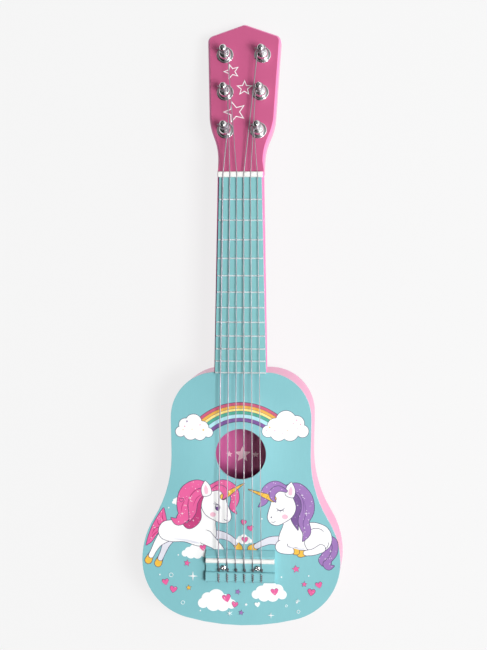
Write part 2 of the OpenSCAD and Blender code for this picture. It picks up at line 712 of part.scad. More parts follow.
dome_foot = 1.6;
dome_top_radius = shaft_radius + 0.75;
module bushing_profile() polygon(concat(
    [[shaft_radius + fit_gap, head_back + 0.1], [sleeve_radius, head_back + 0.1],
     [sleeve_radius, washer_thickness], [dome_radius, washer_thickness]],
    [for (k = [0:6]) let (a = 90 * k / 6)
        [dome_top_radius + (dome_radius - dome_top_radius) * cos(a),
         washer_thickness + dome_foot + (dome_height - washer_thickness - dome_foot) * sin(a)]],
    [[shaft_radius + fit_gap, dome_height]]));
module peg_bushings() color("silver") in_frame() for (n = strings) at_peg(n)
    rotate_extrude($fn = round_fn) bushing_profile();

module peg_rear_washers() color("silver") in_frame() for (n = strings) at_peg(n)
    translate([0, 0, head_back - rear_washer_thickness])
        ring(rear_washer_radius, shaft_radius + 0.2, rear_washer_thickness);

tip_radius = waist_radius + 0.35;
module peg_post(n) color("silver") in_frame() at_peg(n) difference() {
    union() {
        rotate_extrude($fn = round_fn) polygon([
            [0, button_top], [shaft_radius, button_top], [shaft_radius, dome_height + 0.1],
            [shoulder_radius_peg, dome_height + 0.1], [shoulder_radius_peg, dome_height + 0.7],
            [waist_radius, dome_height + 1.5], [waist_radius, peg_height - 2.6],
            [tip_radius, peg_height - 2], [tip_radius, peg_height - 1.1],
            [tip_radius * 0.8, peg_height - 0.35], [tip_radius * 0.5, peg_height], [0, peg_height]]);
        translate([-drive_side / 2, -drive_side / 2, button_top - drive_length])
            cube([drive_side, drive_side, drive_length + 1]);
    }
    translate([-shaft_radius - 1, 0, peg_hole_level]) rotate([0, 90, 0])
        cylinder(h = 2 * shaft_radius + 2, r = peg_hole_radius, $fn = bore_fn);
    translate([0, 0, button_top - drive_length - 1])
        cylinder(h = peg_pilot_top - button_top + drive_length + 1, r = peg_screw_radius + fit_gap,
            $fn = bore_fn);
}

module peg_button(n) color("white") in_frame() at_peg(n) difference() {
    union() {
        translate([0, 0, button_top - collar_length])
            cylinder(h = collar_length, r = collar_radius, $fn = round_fn);
        translate([0, button_thickness / 2, grip_centre]) rotate([90, 0, 0])
          linear_extrude(button_thickness) {
            for (way = [-1, 1]) translate([way * (button_width - button_height) / 2, 0])
                circle(r = button_height / 2, $fn = round_fn);
            square([button_width - button_height, button_height], center = true);
        }
    }
    translate([-drive_side / 2 - fit_gap, -drive_side / 2 - fit_gap, button_top - drive_length - 0.1])
        cube([drive_side + 2 * fit_gap, drive_side + 2 * fit_gap, drive_length + 1.1]);
    translate([0, 0, button_end - 1])
        cylinder(h = button_top - button_end, r = peg_screw_radius + 0.1, $fn = bore_fn);
    translate([0, 0, button_end - 1])
        cylinder(h = peg_screw_seat - button_end + 1, r = peg_screw_head + 0.1, $fn = bore_fn);
}

module peg_screw(n) color("silver") in_frame() at_peg(n) {
    translate([0, 0, peg_screw_seat]) rotate([180, 0, 0]) pan_head(peg_screw_head, peg_screw_head_height, 3);
    translate([0, 0, peg_screw_seat])
        cylinder(h = peg_pilot_top - peg_screw_seat - 0.2, r = peg_screw_radius, $fn = bore_fn);
}

// The turns above the first one, the bend at the peg's hole and the cut end that pokes out of it
wind_step = 22.5;
tail_out = 2.4;
bend_radius = 0.8;
bend_start = 3.1;
function wind_radius(n) = waist_radius + radius_of(n) + 0.04;
function wind_low(n) = wind_level + 2 * radius_of(n) + turn_gap;
function wind_path(n) =
    let (turns = wind_turns * 360, way = -peg_turn(n), steps = ceil(turns / wind_step))
    let (settle = 70, far = bend_start + bend_radius)
    concat(
        [[-shaft_radius - tail_out, 0, peg_hole_level], [bend_start, 0, peg_hole_level]],
        [for (a = [30:30:90])
            [bend_start + bend_radius * sin(a), way * bend_radius * (1 - cos(a)), peg_hole_level]],
        [for (k = [1:steps]) let (a = wind_step * k, share = min(1, a / settle), fall = (a / turns))
            let (r = far + (wind_radius(n) - far) * share)
            [r * cos(a + 8), way * r * sin(a + 8), peg_hole_level + (wind_low(n) - peg_hole_level) * fall]]);

module string_wind(n) color("gainsboro") in_frame() at_peg(n)
    skin(tube_rings(wind_path(n), radius_of(n), 6, [0, 0, 1]));

// Every node

top_plate();
back_plate();
rib(-1);  // rib_left
rib(1);  // rib_right
neck_block();
tail_block();
top_linings();
back_linings();
top_brace_upper();
top_brace_lower();
back_brace_upper();
back_brace_lower();
bridge_plate();
inner_label();
neck();
head();
head_veneer();
fretboard();
frets();
nut();
bridge();
saddle();
bridge_bolts();
bridge_washers();
bridge_nuts();
neck_screws();
neck_screw_washers();
peg_washers();
peg_bushings();
peg_rear_washers();
for (n = strings) {
    string(n);
    peg_post(n);
    peg_button(n);
    peg_screw(n);
    string_wind(n);
}
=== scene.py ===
import json
import math

import bpy
from mathutils import Matrix, Vector


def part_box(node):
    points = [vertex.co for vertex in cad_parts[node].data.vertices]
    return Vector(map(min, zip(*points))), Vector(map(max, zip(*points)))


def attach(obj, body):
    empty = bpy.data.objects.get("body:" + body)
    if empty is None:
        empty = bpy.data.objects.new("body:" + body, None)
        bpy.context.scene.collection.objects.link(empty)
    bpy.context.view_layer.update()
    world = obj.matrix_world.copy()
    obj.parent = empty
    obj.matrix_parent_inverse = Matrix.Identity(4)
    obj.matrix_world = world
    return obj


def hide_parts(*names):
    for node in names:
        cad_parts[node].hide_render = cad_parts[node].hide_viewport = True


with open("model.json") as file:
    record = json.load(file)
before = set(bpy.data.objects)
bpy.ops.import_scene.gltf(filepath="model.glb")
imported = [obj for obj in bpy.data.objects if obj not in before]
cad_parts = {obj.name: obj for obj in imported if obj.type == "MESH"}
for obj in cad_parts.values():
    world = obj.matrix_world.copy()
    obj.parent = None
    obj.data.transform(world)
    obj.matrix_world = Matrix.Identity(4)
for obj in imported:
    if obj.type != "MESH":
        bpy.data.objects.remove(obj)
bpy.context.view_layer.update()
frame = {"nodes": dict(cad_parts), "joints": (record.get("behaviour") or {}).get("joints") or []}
bpy.ops.object.select_all(action="DESELECT")

mm = 0.001
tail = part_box("top_plate")[0].y  # the body's tail end
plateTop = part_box("top_plate")[1].z
headAngle = math.asin(frame["joints"][0]["axis"][1])


class Value:
    # a socket that takes part in sums
    def __init__(self, finish, socket):
        self.finish = finish
        self.socket = socket

    def sum(self, operation, *terms):
        return self.finish.node("ShaderNodeMath", {"operation": operation}, list(terms))

    def __add__(self, other):
        return self.sum("ADD", self, other)

    def __sub__(self, other):
        return self.sum("SUBTRACT", self, other)

    def __rsub__(self, other):
        return self.sum("SUBTRACT", other, self)

    def __mul__(self, other):
        return self.sum("MULTIPLY", self, other)

    def __truediv__(self, other):
        return self.sum("DIVIDE", self, other)

    def __gt__(self, other):
        return self.sum("GREATER_THAN", self, other)

    def __lt__(self, other):
        return self.sum("LESS_THAN", self, other)

    __radd__ = __add__
    __rmul__ = __mul__


class Finish:
    def __init__(self, name, **fixed):
        self.material = bpy.data.materials.new(name)
        self.material.use_nodes = True
        self.tree = self.material.node_tree
        self.shader = self.tree.nodes["Principled BSDF"]
        for socket, value in fixed.items():
            self.shader.inputs[socket.replace("_", " ")].default_value = value
        self.place = self.node("ShaderNodeTexCoord", out="Object")

    def node(self, kind, settings=None, values=None, out=0):
        made = self.tree.nodes.new(kind)
        for key, value in (settings or {}).items():
            if key == "stops":
                ramp = made.color_ramp.elements
                while len(ramp) < len(value):
                    ramp.new(0.5)
                for stop, (position, colour) in zip(ramp, value):
                    stop.position = position
                    stop.color = (*colour, 1)
            else:
                setattr(made, key, value)
        pairs = values.items() if isinstance(values, dict) else enumerate(values or [])
        for key, value in pairs:
            self.feed(made.inputs[key], value)
        return Value(self, made.outputs[out])

    def feed(self, socket, value):
        if isinstance(value, Value):
            self.tree.links.new(value.socket, socket)
        elif isinstance(value, tuple) and len(value) == 3 and socket.type == "RGBA":
            socket.default_value = (*value, 1)
        else:
            socket.default_value = value

    def set(self, socket, value):
        self.feed(self.shader.inputs[socket], value)

    def noise(self, scale, detail=3, stretch=(1, 1, 1), roughness=0.5):
        spot = self.node("ShaderNodeMapping", {}, {"Vector": self.place, "Scale": stretch})
        return self.node("ShaderNodeTexNoise", {}, {"Vector": spot, "Scale": scale, "Detail": detail,
                                                    "Roughness": roughness})

    def cells(self, scale):
        return self.node("ShaderNodeTexVoronoi", {"feature": "F1"}, {"Vector": self.place, "Scale": scale})

    def blend(self, amount, first, second, mode="MIX"):
        return self.node("ShaderNodeMix", {"data_type": "RGBA", "blend_type": mode},
                         {0: amount, 6: first, 7: second}, out=2)

    def spread(self, value, low, high):
        # takes a texture's middle range to low..high
        return self.node("ShaderNodeMapRange", {}, {0: value, 1: 0.3, 2: 0.7, 3: low, 4: high})

    def bump(self, height, strength, depth):
        return self.node("ShaderNodeBump", {}, {"Height": height, "Strength": strength,
                                                "Distance": depth * mm})


def colour(red, green, blue):
    # a colour picked on screen, 0 to 255, as the shader wants it
    def linear(v):
        v = v / 255
        return v / 12.92 if v <= 0.04045 else ((v + 0.055) / 1.055) ** 2.4
    return (linear(red), linear(green), linear(blue))


def shade(tint, factor):
    return tuple(min(1.0, v * factor) for v in tint)



def paintedWood(name, tint, gloss=0.32, grain=(9, 1, 9), depth=0.05):
    # sprayed paint on sanded wood: the grain just shows, and the spray is not quite even
    look = Finish(name, Coat_Weight=0.35, Coat_Roughness=0.12, Specular_IOR_Level=0.45)
    cloudy = look.noise(14, 4)
    fibres = look.noise(120, 5, grain, 0.6)
    orangePeel = look.noise(900, 2)
    patchy = look.blend(look.spread(cloudy, 0, 1), shade(tint, 0.965), shade(tint, 1.03))
    look.set("Base Color", look.blend(look.spread(fibres, 0, 0.5), patchy, shade(tint, 0.94)))
    look.set("Roughness", look.spread(cloudy, gloss - 0.05, gloss + 0.07) + orangePeel * 0.06)
    look.set("Normal", look.bump(fibres * 0.6 + orangePeel * 0.4, 0.35, depth))
    return look.material


def bareWood(name, pale, dark):
    look = Finish(name, Specular_IOR_Level=0.3)
    bend = look.noise(18, 3, (1, 0.15, 1))
    rings = look.node("ShaderNodeTexWave", {"bands_direction": "X"},
                      {"Vector": look.place, "Scale": 120, "Distortion": 6, "Detail": 3,
                       "Detail Scale": 0.6})
    pores = look.noise(1400, 3, (1, 0.06, 1))
    body = look.blend(rings * 0.6 + bend * 0.4, pale, dark)
    look.set("Base Color", look.blend(look.spread(pores, 0, 0.6), body, shade(dark, 0.75)))
    look.set("Roughness", look.spread(pores, 0.62, 0.8))
    look.set("Normal", look.bump(pores, 0.5, 0.08))
    return look.material


def platedMetal(name, tint, rough, scratches=0.04):
    look = Finish(name, Metallic=1.0)
    smear = look.noise(160, 4)
    hairlines = look.noise(2600, 2, (1, 0.1, 0.4))
    look.set("Base Color", look.blend(look.spread(smear, 0, 1), shade(tint, 0.93), tint))
    look.set("Roughness", look.spread(smear, rough, rough + 0.06) + hairlines * scratches)
    look.set("Normal", look.bump(hairlines, 0.15, 0.01))
    return look.material


def woundWire(name, tint, pitch):
    # a wrapped string: fine turns across its length, which runs close to Y
    look = Finish(name, Metallic=1.0)
    turns = look.node("ShaderNodeTexWave", {"bands_direction": "Y", "wave_profile": "SIN"},
                      {"Vector": look.place, "Scale": 1 / pitch / 20 / mm, "Distortion": 0.3})
    tarnish = look.noise(90, 3)
    look.set("Base Color", look.blend(look.spread(tarnish, 0, 0.5), tint, shade(tint, 0.8)))
    look.set("Roughness", look.spread(tarnish, 0.38, 0.5))
    look.set("Normal", look.bump(turns, 0.25, 0.05))
    return look.material


def mouldedPlastic(name, tint):
    look = Finish(name, Coat_Weight=0.25, Coat_Roughness=0.1, Subsurface_Weight=0.08)
    look.shader.inputs["Subsurface Radius"].default_value = (0.002, 0.002, 0.002)
    flow = look.noise(60, 3, (1, 0.3, 1))
    texture = look.noise(1800, 2)
    look.set("Base Color", look.blend(look.spread(flow, 0, 1), shade(tint, 0.97), tint))
    look.set("Roughness", look.spread(flow, 0.24, 0.34))
    look.set("Normal", look.bump(texture, 0.2, 0.02))
    return look.material


def printedInk(name, tint, glitter=0.0, mottle=0.03):
    # ink under the same clear coat as the plate, with the fine dots of a colour print
    look = Finish(name, Coat_Weight=0.35, Coat_Roughness=0.12)
    dots = look.cells(2600)
    wash = look.noise(70, 3)
    base = look.blend(look.spread(wash, 0, 1), shade(tint, 1 - mottle), shade(tint, 1 + mottle))
    base = look.blend((dots < 0.16) * 0.10, base, shade(tint, 0.85))
    if glitter:
        specks = look.cells(520)
        chosen = look.noise(260, 2) > 0.54
        base = look.blend((specks < 0.2) * chosen * glitter, base, (1.0, 0.93, 0.97))
    look.set("Base Color", base)
    look.set("Roughness", look.spread(wash, 0.28, 0.38))
    look.set("Normal", look.bump(look.noise(900, 2), 0.2, 0.02))
    return look.material


def paperWithPaintedShade(name, bright, deep, reach):
    # printed paper: its own pink with painted light and shade laid across it, bright at the left edge and
    # deep at the right edge, where the light falling in through the sound hole from the right would leave it
    look = Finish(name, Coat_Weight=0.05, Coat_Roughness=0.3)
    across = look.node("ShaderNodeSeparateXYZ", {}, {0: look.place})
    # the painted shade: a ramp across X, darker towards the right edge
    paintedShade = look.node("ShaderNodeMapRange", {}, {0: across, 1: -reach * mm, 2: reach * mm, 3: 0, 4: 1})
    look.set("Base Color", look.blend(paintedShade, bright, deep))
    look.set("Roughness", look.spread(look.noise(70, 3), 0.4, 0.5))
    look.set("Normal", look.bump(look.noise(900, 2), 0.2, 0.02))
    return look.material


tints = {
    "plate": colour(131, 193, 200),
    "board": colour(128, 190, 193),
    "side": colour(238, 134, 185),
    "head": colour(202, 93, 138),
    "white": colour(250, 250, 250),
    "shadowWhite": colour(226, 226, 236),
    "outline": colour(72, 66, 100),
    "rose": colour(232, 98, 158),
    "deepRose": colour(196, 62, 124),
    "lilac": colour(158, 118, 184),
    "deepLilac": colour(122, 86, 150),
    "gold": colour(240, 190, 70),
    "deepGold": colour(206, 142, 40),
    "blush": colour(248, 196, 214),
    # the label's own pink, and a darker painted shade for its right side inside the sound hole
    "label": colour(218, 92, 162),
    "labelPaintedShade": colour(160, 10, 90),
}
finishes = {
    "plate": paintedWood("paintedPlate", tints["plate"]),
    "board": paintedWood("paintedBoard", tints["board"], 0.36),
    "bridge": paintedWood("paintedBridge", tints["plate"], 0.34, (1, 9, 9)),
    "side": paintedWood("paintedSide", tints["side"], 0.34, (2, 2, 12)),
    "neck": paintedWood("paintedNeck", tints["side"], 0.34),
    "head": paintedWood("paintedHead", tints["head"], 0.3),
    "wood": bareWood("bareWood", colour(222, 190, 146), colour(188, 148, 100)),
    "innerSide": bareWood("innerSide", colour(214, 168, 150), colour(190, 132, 120)),
    "chrome": platedMetal("chrome", (0.86, 0.87, 0.88), 0.05),
    "zinc": platedMetal("zincPlate", (0.68, 0.68, 0.66), 0.24, 0.1),
    "fretWire": platedMetal("fretWire", (0.88, 0.95, 0.97), 0.52),
    "plainString": woundWire("plainString", (0.44, 0.41, 0.44), 0.6),
    "wrappedString": woundWire("wrappedString", (0.42, 0.37, 0.42), 0.26),
    # the tied string ends: the same wire as the strings, painted darker as painted shade for the knots and
    # twists behind the saddle
    "tieWirePaintedShade": woundWire("tieWirePaintedShade", (0.30, 0.28, 0.29), 0.26),
    "plastic": mouldedPlastic("whitePlastic", colour(247, 247, 244)),
    "button": mouldedPlastic("buttonPlastic", colour(244, 240, 236)),
    # the label paper is painted with light and shade: bright at the left, deep at the right, from 20 mm left
    # of the centre line to 20 mm right of it
    "label": paperWithPaintedShade("labelPaperPaintedShade", tints["label"], tints["labelPaintedShade"], 20),
    "inkWhite": printedInk("inkWhite", tints["white"], 0, 0.0),
    "inkShadow": printedInk("inkShadow", tints["shadowWhite"]),
    "inkOutline": printedInk("inkOutline", tints["outline"]),
    "inkRose": printedInk("inkRose", tints["rose"], 0.85),
    "inkDeepRose": printedInk("inkDeepRose", tints["deepRose"], 0.4),
    "inkLilac": printedInk("inkLilac", tints["lilac"], 0.85),
    "inkDeepLilac": printedInk("inkDeepLilac", tints["deepLilac"], 0.4),
    "inkGold": printedInk("inkGold", tints["gold"]),
    "inkDeepGold": printedInk("inkDeepGold", tints["deepGold"]),
    "inkBlush": printedInk("inkBlush", tints["blush"]),
    "inkPlumBand": printedInk("inkPlumBand", colour(122, 78, 150)),
    "inkRoseBand": printedInk("inkRoseBand", colour(205, 88, 122)),
    "inkAmberBand": printedInk("inkAmberBand", colour(236, 178, 74)),
    "inkLemonBand": printedInk("inkLemonBand", colour(250, 226, 140)),
    "inkGreenBand": printedInk("inkGreenBand", colour(74, 170, 148)),
    "inkIceBand": printedInk("inkIceBand", colour(176, 226, 236)),
}
print("finishes:", len(finishes))


# pieces made from the frame's own shapes

def pick(piece):
    bpy.ops.object.select_all(action="DESELECT")
    piece.select_set(True)
    bpy.context.view_layer.objects.active = piece


def applyAll(piece):
    pick(piece)
    for modifier in list(piece.modifiers):
        bpy.ops.object.modifier_apply(modifier=modifier.name)


def wear(piece, look):
    piece.data.materials.clear()
    piece.data.materials.append(finishes[look])


def refine(node, name, look, body="guitar", edge=0.4, steps=2, corner=30, smooth=38):
    # a copy of a frame part with its flats joined, its edges eased and its curves shaded round
    mesh = frame["nodes"][node].data.copy()
    piece = bpy.data.objects.new(name, mesh)
    bpy.context.scene.collection.objects.link(piece)
    pick(piece)
    if mesh.has_custom_normals:
        bpy.ops.mesh.customdata_custom_splitnormals_clear()
    bpy.ops.object.mode_set(mode="EDIT")
    bpy.ops.mesh.select_all(action="SELECT")
    bpy.ops.mesh.remove_doubles(threshold=0.002 * mm)
    bpy.ops.mesh.dissolve_limited(angle_limit=math.radians(0.4))
    bpy.ops.object.mode_set(mode="OBJECT")
    if edge:
        ease = piece.modifiers.new("ease", "BEVEL")
        ease.width = edge * mm
        ease.segments = steps
        ease.limit_method = "ANGLE"
        ease.angle_limit = math.radians(corner)
        applyAll(piece)
    bpy.ops.object.mode_set(mode="EDIT")
    bpy.ops.mesh.select_all(action="SELECT")
    bpy.ops.mesh.quads_convert_to_tris(quad_method="BEAUTY",
                                       ngon_method="BEAUTY")  # big flats with holes stay clean
    bpy.ops.object.mode_set(mode="OBJECT")
    bpy.ops.object.shade_smooth_by_angle(angle=math.radians(smooth))
    if edge:
        even = piece.modifiers.new("even", "WEIGHTED_NORMAL")  # keeps the flats flat beside their eased edges
        even.weight = 100
        even.keep_sharp = True
        applyAll(piece)
    wear(piece, look)
    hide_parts(node)
    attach(piece, body)
    return piece


refine("top_plate", "frontPlate", "plate", edge=0.5)
refine("back_plate", "backPlate", "side", edge=0.5)
refine("rib_left", "leftSide", "side", edge=0)
refine("rib_right", "rightSide", "side", edge=0)
refine("neck", "neckWood", "neck", edge=0.5)
refine("head", "headWood", "neck", edge=0.5)
refine("head_veneer", "headFace", "head", edge=0.2)
refine("fretboard", "fretBoard", "board", edge=0.15)
refine("frets", "fretWires", "fretWire", edge=0.1)
refine("nut", "stringNut", "plastic", edge=0.15)
refine("bridge", "bridgeBlock", "bridge", edge=0.3)
refine("saddle", "saddleStrip", "plastic", edge=0.15)
refine("bridge_bolts", "bridgeBolts", "chrome", edge=0.15)
refine("inner_label", "innerLabel", "label", edge=0)
refine("peg_washers", "pegWashers", "chrome", edge=0.15)
refine("peg_bushings", "pegBushings", "chrome", edge=0.2)
refine("peg_rear_washers", "pegRearWashers", "chrome", edge=0.15)
wrapped = 3
for n in range(1, 7):
    wire = "plainString" if n <= wrapped else "wrappedString"
    refine(f"string_{n}", f"string{n}", wire, edge=0, smooth=70)
    refine(f"string_wind_{n}", f"stringTurns{n}", wire, f"peg_{n}", edge=0, smooth=80)
    refine(f"peg_post_{n}", f"pegPost{n}", "chrome", f"peg_{n}", edge=0.15)
    refine(f"peg_button_{n}", f"pegButton{n}", "button", f"peg_{n}", edge=0.8, steps=3)
    refine(f"peg_screw_{n}", f"pegScrew{n}", "zinc", f"peg_{n}", edge=0.1)
print("frame parts refined")

for name in ("neck_block", "tail_block", "top_linings", "back_linings", "top_brace_upper",
             "top_brace_lower",
             "back_brace_upper", "back_brace_lower", "bridge_plate"):
    wear(frame["nodes"][name], "wood")
for name in ("bridge_washers", "bridge_nuts", "neck_screws", "neck_screw_washers"):
    wear(frame["nodes"][name], "zinc")


# outlines for the printed picture, in millimetres: x across, y from the tail

def along(points, closed, steps):
    # a smooth line through the points; a point with a third entry stays a corner
    count = len(points)
    line = []
    for k in range(count if closed else count - 1):
        here = points[k]
        there = points[(k + 1) % count]
        before = points[k - 1] if (closed or k > 0) and len(here) == 2 else here
        after = points[(k + 2) % count] if (closed or k + 2 < count) and len(there) == 2 else there
        for step in range(steps):
            t = step / steps
            line.append(tuple(
                0.5 * (2 * here[i] + (there[i] - before[i]) * t
                       + (2 * before[i] - 5 * here[i] + 4 * there[i] - after[i]) * t * t
                       + (3 * here[i] - before[i] - 3 * there[i] + after[i]) * t ** 3) for i in (0, 1)))
    if not closed:
        line.append(points[-1][:2])
    return line


def blob(*points, steps=6):
    return along(points, True, steps)


def lock(points, widths, steps=7):
    # a tapered strand: widths are its full width at each point
    line = along(points, False, steps)
    thick = [w for w, _ in along([(w, 0) for w in widths], False, steps)]
    left, right = [], []
    for k, (x, y) in enumerate(line):
        ahead, behind = line[min(k + 1, len(line) - 1)], line[max(k - 1, 0)]
        dx, dy = ahead[0] - behind[0], ahead[1] - behind[1]
        size = math.hypot(dx, dy) or 1
        half = max(thick[k], 0.04) / 2
        left.append((x - dy / size * half, y + dx / size * half))
        right.append((x + dy / size * half, y - dx / size * half))

    def cap(centre, start, width):
        if width < 0.5:
            return []
        turn = math.atan2(start[1] - centre[1], start[0] - centre[0])
        return [(centre[0] + width / 2 * math.cos(turn - math.pi * j / 5),
                 centre[1] + width / 2 * math.sin(turn - math.pi * j / 5)) for j in range(1, 5)]
    return left + cap(line[-1], left[-1], thick[-1]) + right[::-1] + cap(line[0], right[0], thick[0])


def disc(x, y, radius, squash=1.0, points=20):
    return [(x + radius * math.cos(math.tau * k / points),
             y + radius * squash * math.sin(math.tau * k / points))
            for k in range(points)]


def star(x, y, radius, turn=90, arms=5, inner=0.46):
    return [(x + radius * (inner if k % 2 else 1) * math.cos(math.radians(turn + 180 * k / arms)),
             y + radius * (inner if k % 2 else 1) * math.sin(math.radians(turn + 180 * k / arms)))
            for k in range(2 * arms)]


def heart(x, y, size, lean=0):
    shape = blob((0, -0.55, "corner"), (0.38, -0.18), (0.56, 0.2), (0.42, 0.46), (0.16, 0.44),
                 (0, 0.22, "corner"),
                 (-0.16, 0.44), (-0.42, 0.46), (-0.56, 0.2), (-0.38, -0.18), steps=4)
    c, s = math.cos(math.radians(lean)), math.sin(math.radians(lean))
    return [(x + size * (c * a - s * b), y + size * (s * a + c * b)) for a, b in shape]


def grow(loop, by):
    # the same outline, moved outwards
    area = sum(a[0] * b[1] - b[0] * a[1] for a, b in zip(loop, loop[1:] + loop[:1]))
    way = by if area > 0 else -by
    grown = []
    for k, (x, y) in enumerate(loop):
        ahead, behind = loop[(k + 1) % len(loop)], loop[k - 1]
        dx, dy = ahead[0] - behind[0], ahead[1] - behind[1]
        size = math.hypot(dx, dy) or 1
        grown.append((x + dy / size * way, y - dx / size * way))
    return grown


class Picture:
    # a stack of thin ink shapes, each laid on the ones before it
    layer = 0.006

    def __init__(self, name):
        self.name = name
        self.shapes = []

    def lay(self, ink, *loops):
        self.shapes.append((ink, loops))

    def inked(self, ink, loop, line=0.5):
        self.lay("inkOutline", grow(loop, line))
        self.lay(ink, loop)

    def press(self, place):
        made = []
        for k, (ink, loops) in enumerate(self.shapes):
            top = self.layer * (k + 2)
            data = bpy.data.curves.new(self.name, "CURVE")
            data.dimensions = "2D"
            data.fill_mode = "BOTH"
            data.extrude = (top + 0.01) / 2 * mm
            for loop in loops:
                spline = data.splines.new("POLY")
                spline.points.add(len(loop) - 1)
                for point, (x, y) in zip(spline.points, loop):
                    point.co = (x * mm, y * mm, 0, 1)
                spline.use_cyclic_u = True
            data.materials.append(finishes[ink])
            shape = bpy.data.objects.new(self.name, data)
            bpy.context.scene.collection.objects.link(shape)
            shape.matrix_world = place @ Matrix.Translation((0, 0, (top - 0.01) / 2 * mm))
            made.append(shape)
        bpy.ops.object.select_all(action="DESELECT")
        for shape in made:
            shape.select_set(True)
        bpy.context.view_layer.objects.active = made[0]
        bpy.ops.object.convert(target="MESH")
        bpy.ops.object.transform_apply(location=True, rotation=True, scale=True)
        if len(made) > 1:
            bpy.ops.object.join()
        piece = bpy.context.view_layer.objects.active
        piece.name = self.name
        bpy.ops.object.mode_set(mode="EDIT")
        bpy.ops.mesh.select_all(action="SELECT")
        bpy.ops.mesh.remove_doubles(threshold=0.0005 * mm)
        bpy.ops.mesh.normals_make_consistent(inside=False)
        bpy.ops.object.mode_set(mode="OBJECT")
        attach(piece, "guitar")
        return piece


onPlate = Matrix.Translation((0, tail, plateTop))

rainbow = {"x": 0, "y": 143, "outer": 55, "from": 44, "to": 136,
           "bands": [("inkRoseBand", 2.6), ("inkAmberBand", 2.6), ("inkLemonBand", 2.3),
                     ("inkGreenBand", 2.8),
                     ("inkIceBand", 3.4), ("inkPlumBand", 3.0)],
           "line": 0.28}


def rainbowArc(outer, inner):
    turns = [math.radians(rainbow["from"] + (rainbow["to"] - rainbow["from"]) * k / 30) for k in range(31)]
    rim = [(rainbow["x"] + outer * math.cos(t), rainbow["y"] + outer * math.sin(t)) for t in turns]
    hollow = [(rainbow["x"] + inner * math.cos(t), rainbow["y"] + inner * math.sin(t)) for t in turns]
    return rim + hollow[::-1]


def cloud(picture, x, y, width, height, puffs, line=0.45):
    # puffs are (place along, place up, radius), all as shares of the width and height
    discs = [disc(x + width * a, y + height * b, width * r, points=24) for a, b, r in puffs]
    for ring in discs:
        picture.lay("inkOutline", grow(ring, line))
    for ring in discs:
        picture.lay("inkWhite", ring)


puffsLeft = [(-0.36, -0.16, 0.13), (-0.24, 0.08, 0.16), (-0.02, 0.16, 0.21), (0.2, -0.02, 0.17),
             (0.36, -0.18, 0.12), (-0.1, -0.2, 0.18), (0.14, -0.22, 0.17)]
puffsRight = [(-x, y, r) for x, y, r in puffsLeft]

sky = Picture("printedSky")
edge = rainbow["outer"]
sky.lay("inkOutline", rainbowArc(edge + 0.5, edge - sum(w for _, w in rainbow["bands"]) - 0.4))
for ink, width in rainbow["bands"]:
    sky.lay(ink, rainbowArc(edge, edge - width))
    edge -= width
    sky.lay("inkOutline", rainbowArc(edge + rainbow["line"], edge))
cloud(sky, -41, 176, 34, 26, puffsLeft)
cloud(sky, 39, 178, 42, 28, puffsRight)
for x, y, size, ink in ((-47.5, 181, 1.1, "inkDeepLilac"), (-33, 173.5, 1.2, "inkGold"),
                        (49, 183, 1.2, "inkBlush"),
                        (25.5, 176.5, 1.1, "inkGold"), (37, 171.5, 0.8, "inkBlush"),
                        (-49.5, 176.5, 0.7, "inkRose"),
                        (-43, 174, 0.6, "inkGold"), (-36, 178, 0.7, "inkRose"),
                        (-51, 173.5, 0.6, "inkGold"),
                        (52.5, 179.5, 0.7, "inkRose"), (46, 180, 0.6, "inkRose"),
                        (50, 175.5, 0.7, "inkBlush"),
                        (30, 173.5, 0.7, "inkRose"), (22.5, 174, 0.6, "inkRose"),
                        (41, 174, 0.6, "inkGold")):
    sky.lay(ink, star(x, y, size))
sky.press(onPlate)
print("sky printed")


def sparkles(picture, spots):
    for x, y, size in spots:
        picture.lay("inkWhite", star(x, y, size, 90, 4, 0.2))


def hornLines(picture, base, tip, width, count=4):
    for k in range(1, count):
        t = k / count
        x, y = base[0] + (tip[0] - base[0]) * t, base[1] + (tip[1] - base[1]) * t
        size = math.hypot(tip[0] - base[0], tip[1] - base[1])
        nx, ny = -(tip[1] - base[1]) / size, (tip[0] - base[0]) / size
        half = width * (1 - t) / 2
        lean = 0.35 * width * (1 - t)
        picture.lay("inkDeepGold", lock([(x - nx * half, y - ny * half),
                                         (x + nx * half + lean * ny, y + ny * half - lean * nx)],
                                        [0.45, 0.45], 2))


